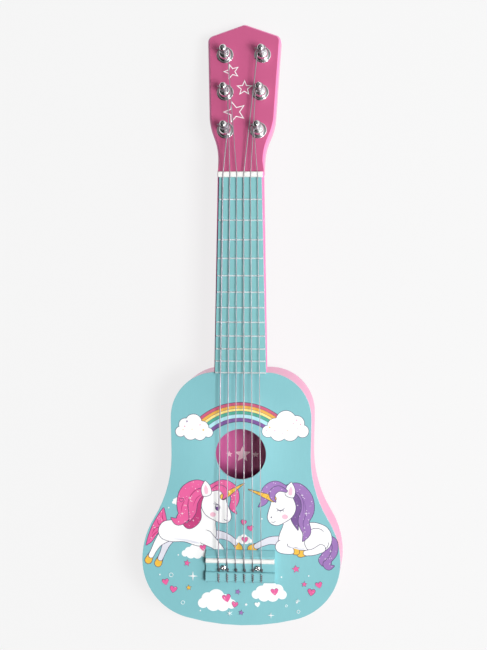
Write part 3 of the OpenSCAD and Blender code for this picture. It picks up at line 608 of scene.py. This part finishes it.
def leapingUnicorn():
    art = Picture("printedLeapingUnicorn")
    art.inked("inkRose", blob((-65.5, 86.5), (-66.4, 95), (-68.4, 104, "tip"), (-72.8, 98), (-78.2, 88.5),
                              (-82, 79),
                              (-84.4, 70, "tip"), (-79.4, 73.4), (-75, 79.6), (-71, 84)))
    for line in ([(-68, 89), (-69.6, 95), (-69.4, 101)], [(-69, 87.5), (-73, 89), (-74.6, 94)],
                 [(-70, 86.5), (-76, 85.4), (-79.6, 79)], [(-71.6, 84.6), (-77, 80), (-82, 73.6)]):
        art.lay("inkDeepRose", lock(line, [0.3, 1.0, 0.1]))
    art.inked("inkGold", lock([(-71.3, 59.5), (-73.6, 54)], [4.4, 6.2], 3))
    art.inked("inkShadow", lock([(-60, 82), (-65.5, 73), (-69, 64.5), (-71.6, 58.6)], [13, 7, 4.6, 4.3]))
    art.inked("inkGold", lock([(-4.6, 73.4), (-1.6, 69)], [4.6, 6.2], 3))
    art.inked("inkShadow", lock([(-31, 80), (-18, 80.5), (-9.5, 77.5), (-5, 73.6)], [10, 6.6, 4.9, 4.3]))
    art.inked("inkGold", lock([(-79.6, 62), (-82.3, 56.6)], [4.4, 6.2], 3))
    art.inked("inkWhite", lock([(-64, 82), (-72.6, 73.5), (-77, 66.5), (-79.8, 61)], [15, 7.4, 4.8, 4.3]))
    art.inked("inkWhite", blob((-31, 113), (-41, 100), (-50, 92.5), (-60, 93), (-69, 91), (-73, 84),
                               (-70.5, 77),
                               (-62, 74), (-50, 74), (-38, 70.5), (-28, 71.5), (-22, 79), (-22.5, 90),
                               (-23, 99)))
    art.inked("inkWhite", lock([(-31, 78), (-23, 72), (-18, 67), (-15, 60)], [13, 8, 6.2, 5.4]))
    art.lay("inkWhite", disc(-33, 79, 6.2))
    art.lay("inkWhite", disc(-64, 83, 7.6))
    art.lay("inkShadow", lock([(-60, 76.4), (-50, 75.4), (-41, 73.5), (-36, 72.6)], [0.1, 1.6, 1.6, 0.1]))
    art.inked("inkDeepRose", lock([(-29, 117), (-37, 113), (-40.5, 104), (-40, 95), (-46, 88.5), (-52, 91)],
                                  [5, 9, 10, 9, 6, 0.1]))
    art.inked("inkRose", lock([(-27, 121), (-38, 123.5), (-47, 118), (-50, 108), (-50, 98), (-56, 92),
                               (-62, 95)],
                              [6, 11, 13, 13, 11, 7, 0.1]))
    art.inked("inkRose", lock([(-28, 119), (-36, 118), (-42, 110), (-43, 100), (-45.5, 92)],
                              [4, 7, 8, 6, 0.1]))
    for line in ([(-31, 121.5), (-40, 120), (-46, 112), (-47.5, 102)],
                 [(-33, 117), (-39, 113), (-42.5, 105)],
                 [(-48, 114), (-52, 106), (-53, 98)]):
        art.lay("inkDeepRose", lock(line, [0.2] + [0.7] * (len(line) - 2) + [0.1]))
    art.inked("inkRose", lock([(-26, 123), (-16, 126), (-7.5, 121.5), (-5, 113), (-7, 105), (-3.5, 99.5)],
                              [4, 7, 8, 7, 5, 0.1]))
    art.inked("inkWhite", blob((-33, 113), (-29, 119.5), (-21, 121), (-14.5, 117), (-12.5, 109),
                               (-9.6, 102),
                               (-8.6, 96), (-11.5, 92), (-17, 91.4), (-23, 93.5), (-30.5, 98),
                               (-34.5, 105)))
    art.inked("inkWhite", blob((-33.2, 115), (-34.6, 122), (-31.5, 128.6, "tip"), (-27.4, 124),
                               (-26.4, 117)))
    art.lay("inkBlush", blob((-31.6, 117), (-32.4, 121.5), (-31.1, 125, "tip"), (-29.2, 121.5),
                             (-29, 117.5)))
    art.inked("inkGold", lock([(-15.4, 114.6), (3.5, 127)], [5.4, 0.1], 4))
    hornLines(art, (-15.4, 114.6), (3.5, 127), 5.4, 5)
    art.inked("inkRose", lock([(-25, 120.5), (-19.5, 122.5), (-15, 120.5), (-13.6, 116), (-16.2, 112)],
                              [2, 4.6, 5.2, 3.6, 0.1]))
    art.lay("inkBlush", disc(-24.6, 98.6, 2.6, 0.8))
    art.lay("inkOutline", disc(-20.4, 105, 2.3, 1.3))
    art.lay("inkPlumBand", disc(-20.1, 104.2, 1.5, 1.2))
    art.lay("inkWhite", disc(-21, 106.3, 0.8))
    art.lay("inkWhite", disc(-19.6, 103.4, 0.4))
    for lash in ([(-22, 107.4), (-24.6, 108.6)], [(-21.5, 108), (-23.4, 110)]):
        art.lay("inkOutline", lock(lash, [0.55, 0.1], 3))
    art.lay("inkOutline", disc(-11.8, 97.6, 0.55, 1.3))
    art.lay("inkOutline", lock([(-10.8, 93.9), (-13.2, 93.6), (-15.2, 94.9)], [0.3, 0.5, 0.2], 4))
    sparkles(art, [(-45, 113, 1.6), (-52, 99, 1.4), (-38, 119, 1.0), (-10, 119, 1.2), (-6.6, 110, 0.9),
                   (-76.5, 86, 1.2), (-79.5, 77, 0.9), (-42, 93, 1.0), (-48.5, 106, 0.8)])
    return art.press(onPlate)


def restingUnicorn():
    art = Picture("printedRestingUnicorn")
    art.inked("inkLilac", lock([(76, 80), (81.5, 76), (81, 67), (76, 60), (77.5, 54), (82.5, 55)],
                               [4, 6.5, 8, 8, 6, 0.1]))
    art.inked("inkLilac", lock([(75, 78), (77.5, 72), (75, 65), (71, 59.5), (72, 54.5)],
                               [3, 5.5, 6, 4.5, 0.1]))
    art.inked("inkGold", lock([(14.4, 71.2), (9.4, 68.6)], [5, 6.8], 3))
    art.inked("inkShadow", lock([(40, 76), (27, 76.4), (19, 73.6), (14, 71)], [9, 6.4, 5, 4.6]))
    art.inked("inkWhite", blob((45, 112), (52, 101), (58, 93.5), (67, 92.5), (76, 88.5), (80, 80),
                               (77.5, 71),
                               (68, 66.6), (52, 66), (39, 67), (33.5, 73), (34.5, 82), (37.5, 90),
                               (39, 100)))
    art.inked("inkWhite", blob((58, 80), (62, 86.5), (70, 87), (76.5, 80), (76, 71.5), (68, 67),
                               (60, 68.5), (56.6, 74)))
    art.lay("inkWhite", disc(72, 79, 6.4))
    art.inked("inkGold", lock([(58, 65.8), (52.6, 65)], [4.4, 6], 3))
    art.inked("inkWhite", lock([(71, 70), (64, 66.8), (57.6, 65.8)], [7, 5.2, 4.4]))
    art.inked("inkGold", blob((45.6, 65.2), (49.6, 64.2), (51.6, 66), (50.6, 69.6), (46.2, 70.2),
                              (45, 67.8)))
    art.inked("inkWhite", blob((37, 77), (32.4, 75), (30.8, 70.6), (33, 66.6), (38.6, 64.9), (45.8, 65.1),
                               (46.8, 67.6), (45.6, 70), (41.6, 71.2), (40.4, 75)))
    art.lay("inkWhite", disc(38.4, 76, 3.6))
    art.lay("inkShadow", lock([(42, 71.5), (52, 69.2), (57, 70)], [0.1, 1.4, 0.1]))
    art.inked("inkDeepLilac", lock([(43, 121), (49, 115), (51, 105), (48, 96), (50.5, 86)],
                                   [5, 8, 9, 7, 0.1]))
    art.inked("inkLilac", lock([(40, 122.5), (50, 123), (57.5, 115), (59, 104), (55.5, 94), (58, 84),
                                (54.5, 76)],
                               [6, 9, 10.5, 11, 9.5, 7, 0.1]))
    for line in ([(44, 121.5), (52, 118), (55.5, 109), (54.5, 99)],
                 [(56, 112), (57.5, 102), (55, 92), (56.5, 84)]):
        art.lay("inkDeepLilac", lock(line, [0.2] + [0.7] * (len(line) - 2) + [0.1]))
    art.inked("inkLilac", lock([(41, 122), (31, 125.5), (23, 120.5), (20.5, 111), (15.5, 106)],
                               [4, 7, 8, 5.5, 0.1]))
    art.inked("inkWhite", blob((46.5, 113), (42, 119.5), (34, 120), (28, 116), (26.6, 108.5), (24.6, 102),
                               (23.8, 96), (26.6, 91.6), (32, 90), (38, 92.5), (45, 97.5), (48.4, 105)))
    art.inked("inkWhite", blob((46.4, 115), (47.6, 122), (44.6, 128.4, "tip"), (40.6, 124), (39.6, 117)))
    art.lay("inkBlush", blob((44.8, 117), (45.6, 121.5), (44.3, 125, "tip"), (42.4, 121.5), (42.2, 117.5)))
    art.inked("inkGold", lock([(28.6, 113.4), (6.5, 121.5)], [5.4, 0.1], 4))
    hornLines(art, (28.6, 113.4), (6.5, 121.5), 5.4, 5)
    art.inked("inkLilac", lock([(40, 120.5), (33.5, 122.5), (28.6, 119.5), (28, 114.5), (31, 110.5)],
                               [2, 4.6, 5.4, 3.8, 0.1]))
    art.lay("inkBlush", disc(39, 97.6, 2.7, 0.8))
    art.lay("inkOutline", lock([(31.4, 105.2), (33.6, 103.4), (36.4, 103.4), (38.8, 105.6)],
                               [0.25, 0.75, 0.75, 0.25], 5))
    for lash in ([(33, 103.6), (31.6, 101.8)], [(35, 103.1), (34.7, 101)], [(37, 103.8), (38.2, 102)]):
        art.lay("inkOutline", lock(lash, [0.5, 0.1], 3))
    art.lay("inkOutline", disc(27, 97, 0.55, 1.3))
    art.lay("inkOutline", lock([(26.8, 93), (29, 92.6), (31, 93.8)], [0.3, 0.5, 0.2], 4))
    sparkles(art, [(54, 117, 1.4), (57.5, 101, 1.5), (50, 108, 0.9), (26, 120, 1.1), (56, 88, 1.1),
                   (79, 68, 1.3), (74.5, 61, 0.9), (21.6, 113, 0.8)])
    return art.press(onPlate)


def scatteredShapes():
    art = Picture("printedCloudsAndHearts")
    for x, y, width, height, puffs in ((-56, 110, 10, 8, puffsLeft), (-41, 65.4, 24, 11, puffsRight),
                                       (3, 77, 15, 8, puffsLeft), (-21, 22, 35, 17, puffsLeft),
                                       (25, 31, 32, 17, puffsRight)):
        for a, b, r in puffs:
            art.lay("inkWhite", disc(x + width * a, y + height * b, width * r, points=24))
    for x, y, size, lean in ((-67, 37.5, 5.2, 12), (-60, 31, 5.6, -10), (-12.5, 24, 6.6, 14),
                             (-5.3, 18.6, 4.8, -12),
                             (30, 30.6, 5.8, 8), (69, 37.5, 5.2, 14), (62.4, 31, 5.8, -8),
                             (2.6, 92, 4.2, -10),
                             (8.6, 86.8, 4.8, 12), (3.6, 76.6, 4.6, 0), (-33.5, 68.8, 5, 10),
                             (-52.6, 111, 3, 0)):
        art.inked("inkRose", heart(x, y, size, lean), 0.3)
    for x, y, size, turn, ink in ((-47.7, 54.8, 2.9, 80, "inkRose"), (48.8, 51.4, 3.4, 100, "inkRose"),
                                  (56.2, 38, 2.4, 84, "inkRose"), (-46.2, 32.8, 2.4, 95, "inkGold"),
                                  (-2.6, 30, 2.6, 70, "inkLilac"), (0.4, 11.4, 2.4, 80, "inkLilac")):
        art.inked(ink, star(x, y, size, turn), 0.25)
    for x, y, size, arms in ((-42.5, 43.3, 4.4, 4), (26.8, 9.6, 3, 4), (-9.8, 10.6, 3, 6),
                             (50.5, 23, 2.4, 4)):
        art.lay("inkWhite", star(x, y, size, 90, arms, 0.18))
    art.lay("inkWhite", heart(14.8, 19, 4.2, 8))
    for x, y, radius in ((-51.6, 19.4, 1.7), (-62, 44, 1.9), (51, 13.5, 1.5), (40.4, 18.4, 1.1)):
        art.lay("inkWhite", disc(x, y, radius), disc(x, y, radius - 0.32))
    for x, y, radius in ((4.8, 18.8, 1.0), (49.5, 21.6, 0.7), (-36, 12.5, 0.6), (60, 45.6, 0.6),
                         (-72, 44, 0.6),
                         (-30, 47.6, 0.6), (36, 44, 0.7), (-55.5, 62, 0.6), (18.6, 95.5, 0.6),
                         (-64, 104, 0.6)):
        art.lay("inkWhite", disc(x, y, radius, points=12))
    return art.press(onPlate)


leapingUnicorn()
restingUnicorn()
scatteredShapes()
print("picture printed")

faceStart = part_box("nut")[1].y
onHead = Matrix.Translation((0, faceStart, plateTop)) @ Matrix.Rotation(-headAngle, 4, "X")
headStars = {"line": 1.9, "stars": [(-10.4, 91, 7.6, 180), (1.3, 75.8, 7.6, 90), (-6.6, 54, 10.6, 180)]}
starPrint = Picture("printedHeadStars")
for x, y, radius, turn in headStars["stars"]:
    starPrint.lay("inkWhite", star(x, y, radius, turn, 5, 0.44),
                  star(x, y, radius - headStars["line"], turn, 5, 0.43))
starPrint.press(onHead)

ties = {"pitch": 7.55, "wire": 0.3, "knotTurns": 2.5, "wrapTurns": 3.5, "tail": 2.6}
saddleSpot = (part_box("saddle")[0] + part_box("saddle")[1]) / 2


def coil(start, end, radius, turns, steps=10):
    # points of a wire that winds round the line from start to end
    start, end = Vector(start), Vector(end)
    way = (end - start).normalized()
    out = way.cross(Vector((1, 0, 0))).normalized()
    beside = way.cross(out)
    count = int(turns * steps)
    return [start.lerp(end, k / count) + radius *
            (math.cos(math.tau * k / steps) * out + math.sin(math.tau * k / steps) * beside)
            for k in range(count + 1)]


def stringTies():
    # the cut end of each string is knotted in front of the tie block and twisted over it
    made = []
    for n in range(1, 7):
        x = (3.5 - n) * ties["pitch"]
        for path in (coil((x, -9.1, 3.9), (x, -7.5, 4.9), 0.95, ties["knotTurns"])
                     + [Vector((x - 1.2, -8.4, 6.2)), Vector((x - 1.5, -8.6, 6.2 + ties["tail"] * 0.4))],
                     coil((x, -11.2, 7.45), (x, -17.6, 7.45), 0.85, ties["wrapTurns"])):
            data = bpy.data.curves.new("stringTies", "CURVE")
            data.dimensions = "3D"
            data.bevel_depth = ties["wire"] * mm
            data.bevel_resolution = 2
            data.use_fill_caps = True
            wire = data.splines.new("POLY")
            wire.points.add(len(path) - 1)
            for point, spot in zip(wire.points, path):
                point.co = (*(spot * mm), 1)
            # painted shade: the knots and twists wear a darker copy of the string wire
            data.materials.append(finishes["tieWirePaintedShade"])
            strand = bpy.data.objects.new("stringTies", data)
            bpy.context.scene.collection.objects.link(strand)
            strand.location = (0, saddleSpot.y, plateTop)
            made.append(strand)
    bpy.ops.object.select_all(action="DESELECT")
    for strand in made:
        strand.select_set(True)
    bpy.context.view_layer.objects.active = made[0]
    bpy.ops.object.convert(target="MESH")
    bpy.ops.object.transform_apply(location=True, rotation=True, scale=True)
    bpy.ops.object.join()
    piece = bpy.context.view_layer.objects.active
    piece.name = "stringTies"
    bpy.ops.object.mode_set(mode="EDIT")
    bpy.ops.mesh.select_all(action="SELECT")
    bpy.ops.mesh.remove_doubles(threshold=0.001 * mm)
    bpy.ops.mesh.normals_make_consistent(inside=False)
    bpy.ops.object.mode_set(mode="OBJECT")
    bpy.ops.object.shade_smooth_by_angle(angle=math.radians(60))
    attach(piece, "guitar")


stringTies()
print("strings tied")

label = {"y": 152.4, "x": -3.6, "drop": 7.8, "star": 7.5, "small": 3.0, "gap": 12}
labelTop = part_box("inner_label")[1].z
labelStar = Picture("printedLabelStars")
for place, size in ((0, label["star"]), (-label["gap"], label["small"]), (label["gap"], label["small"])):
    labelStar.lay("inkBlush", star(label["x"] + place, label["y"] - label["drop"], size))
labelStar.press(Matrix.Translation((0, tail, labelTop)))


def room():
    bpy.ops.mesh.primitive_plane_add(size=12, location=(0, 0, -0.0002))
    floor = bpy.context.object
    floor.name = "floor"
    look = Finish("paleFloor", Roughness=0.9)
    look.set("Base Color", (0.10, 0.10, 0.10))
    look.set("Emission Color", (1.0, 1.0, 1.0))
    look.set("Emission Strength", 0.80)
    floor.data.materials.append(look.material)


def lamp(name, place, size, power, tint=(1, 1, 1)):
    bpy.ops.object.light_add(type="AREA", location=place)
    light = bpy.context.object
    light.name = name
    light.data.shape = "RECTANGLE"
    light.data.size, light.data.size_y = size
    light.data.energy = power
    light.data.color = tint
    light.rotation_euler = (-Vector(place)).to_track_quat("-Z", "Y").to_euler()
    return light


def holeLamp(target, offset):
    # a narrow beam aimed through the sound hole, just wider than the hole
    bpy.ops.object.light_add(type="SPOT", location=[a + b for a, b in zip(target, offset)])
    spot = bpy.context.object
    spot.name = "holeBeam"
    spot.data.energy = beam["power"]
    spot.data.spot_size = math.radians(beam["cone"])
    spot.data.spot_blend = beam["blend"]
    spot.data.shadow_soft_size = beam["soft"]
    spot.rotation_euler = (-Vector(offset)).to_track_quat("-Z", "Y").to_euler()


def studioSky(west, middle, east, strength, backdrop):
    # one side of the studio is dark and the other pale, which is what polished metal shows
    world = bpy.data.worlds.new("studio")
    bpy.context.scene.world = world
    world.use_nodes = True
    tree = world.node_tree
    across = tree.nodes.new("ShaderNodeSeparateXYZ")
    tree.links.new(tree.nodes.new("ShaderNodeTexCoord").outputs["Generated"], across.inputs[0])
    spread = tree.nodes.new("ShaderNodeMapRange")
    spread.inputs[1].default_value = -1
    tree.links.new(across.outputs[0], spread.inputs[0])
    ramp = tree.nodes.new("ShaderNodeValToRGB")
    stops = ramp.color_ramp.elements
    while len(stops) < 4:
        stops.new(0.5)
    for stop, (place, level) in zip(stops, ((0.40, west), (0.47, middle), (0.54, middle), (0.62, east))):
        stop.position = place
        stop.color = (level, level, level, 1)
    tree.links.new(spread.outputs[0], ramp.inputs[0])
    # the camera itself sees one even pale backdrop
    seen = tree.nodes.new("ShaderNodeMix")
    seen.data_type = "RGBA"
    seen.inputs[7].default_value = (backdrop, backdrop, backdrop, 1)
    tree.links.new(tree.nodes.new("ShaderNodeLightPath").outputs["Is Camera Ray"], seen.inputs[0])
    tree.links.new(ramp.outputs[0], seen.inputs[6])
    tree.links.new(seen.outputs[2], tree.nodes["Background"].inputs[0])
    tree.nodes["Background"].inputs[1].default_value = strength


room()
studio = {"key": 58, "side": 2, "west": 0.03, "middle": 0.3, "east": 1.0, "sky": 0.9, "backdrop": 1.05}
beam = {"power": 45, "cone": 1.8, "offset": (0.06, 0.08, 1.5), "aside": 0.002, "blend": 0.3, "soft": 0.04}
lamp("keyRight", (1.16, -0.12, 2.5), (0.8, 0.8), studio["key"])
lamp("sideRight", (1.7, 0.2, 0.7), (0.7, 1.2), studio["side"])
holeLamp((beam["aside"], tail + label["y"] * mm, plateTop), beam["offset"])
studioSky(studio["west"], studio["middle"], studio["east"], studio["sky"], studio["backdrop"])
bpy.context.scene.view_settings.view_transform = "Standard"

camera = {"place": Vector((0.14562, 0.10512, 1.52207)), "target": Vector((0.00241, 0.00144, 0.055)),
          "lens": 93.76}
back = (camera["place"] - camera["target"]).normalized()
right = Vector((0, 1, 0)).cross(back).normalized()
up = back.cross(right)
turn = Matrix((right, up, back)).transposed().to_4x4()
bpy.ops.object.camera_add()
eye = bpy.context.object
eye.matrix_world = Matrix.Translation(camera["place"]) @ turn
eye.data.lens = camera["lens"]
eye.data.sensor_width = 36
bpy.context.scene.camera = eye
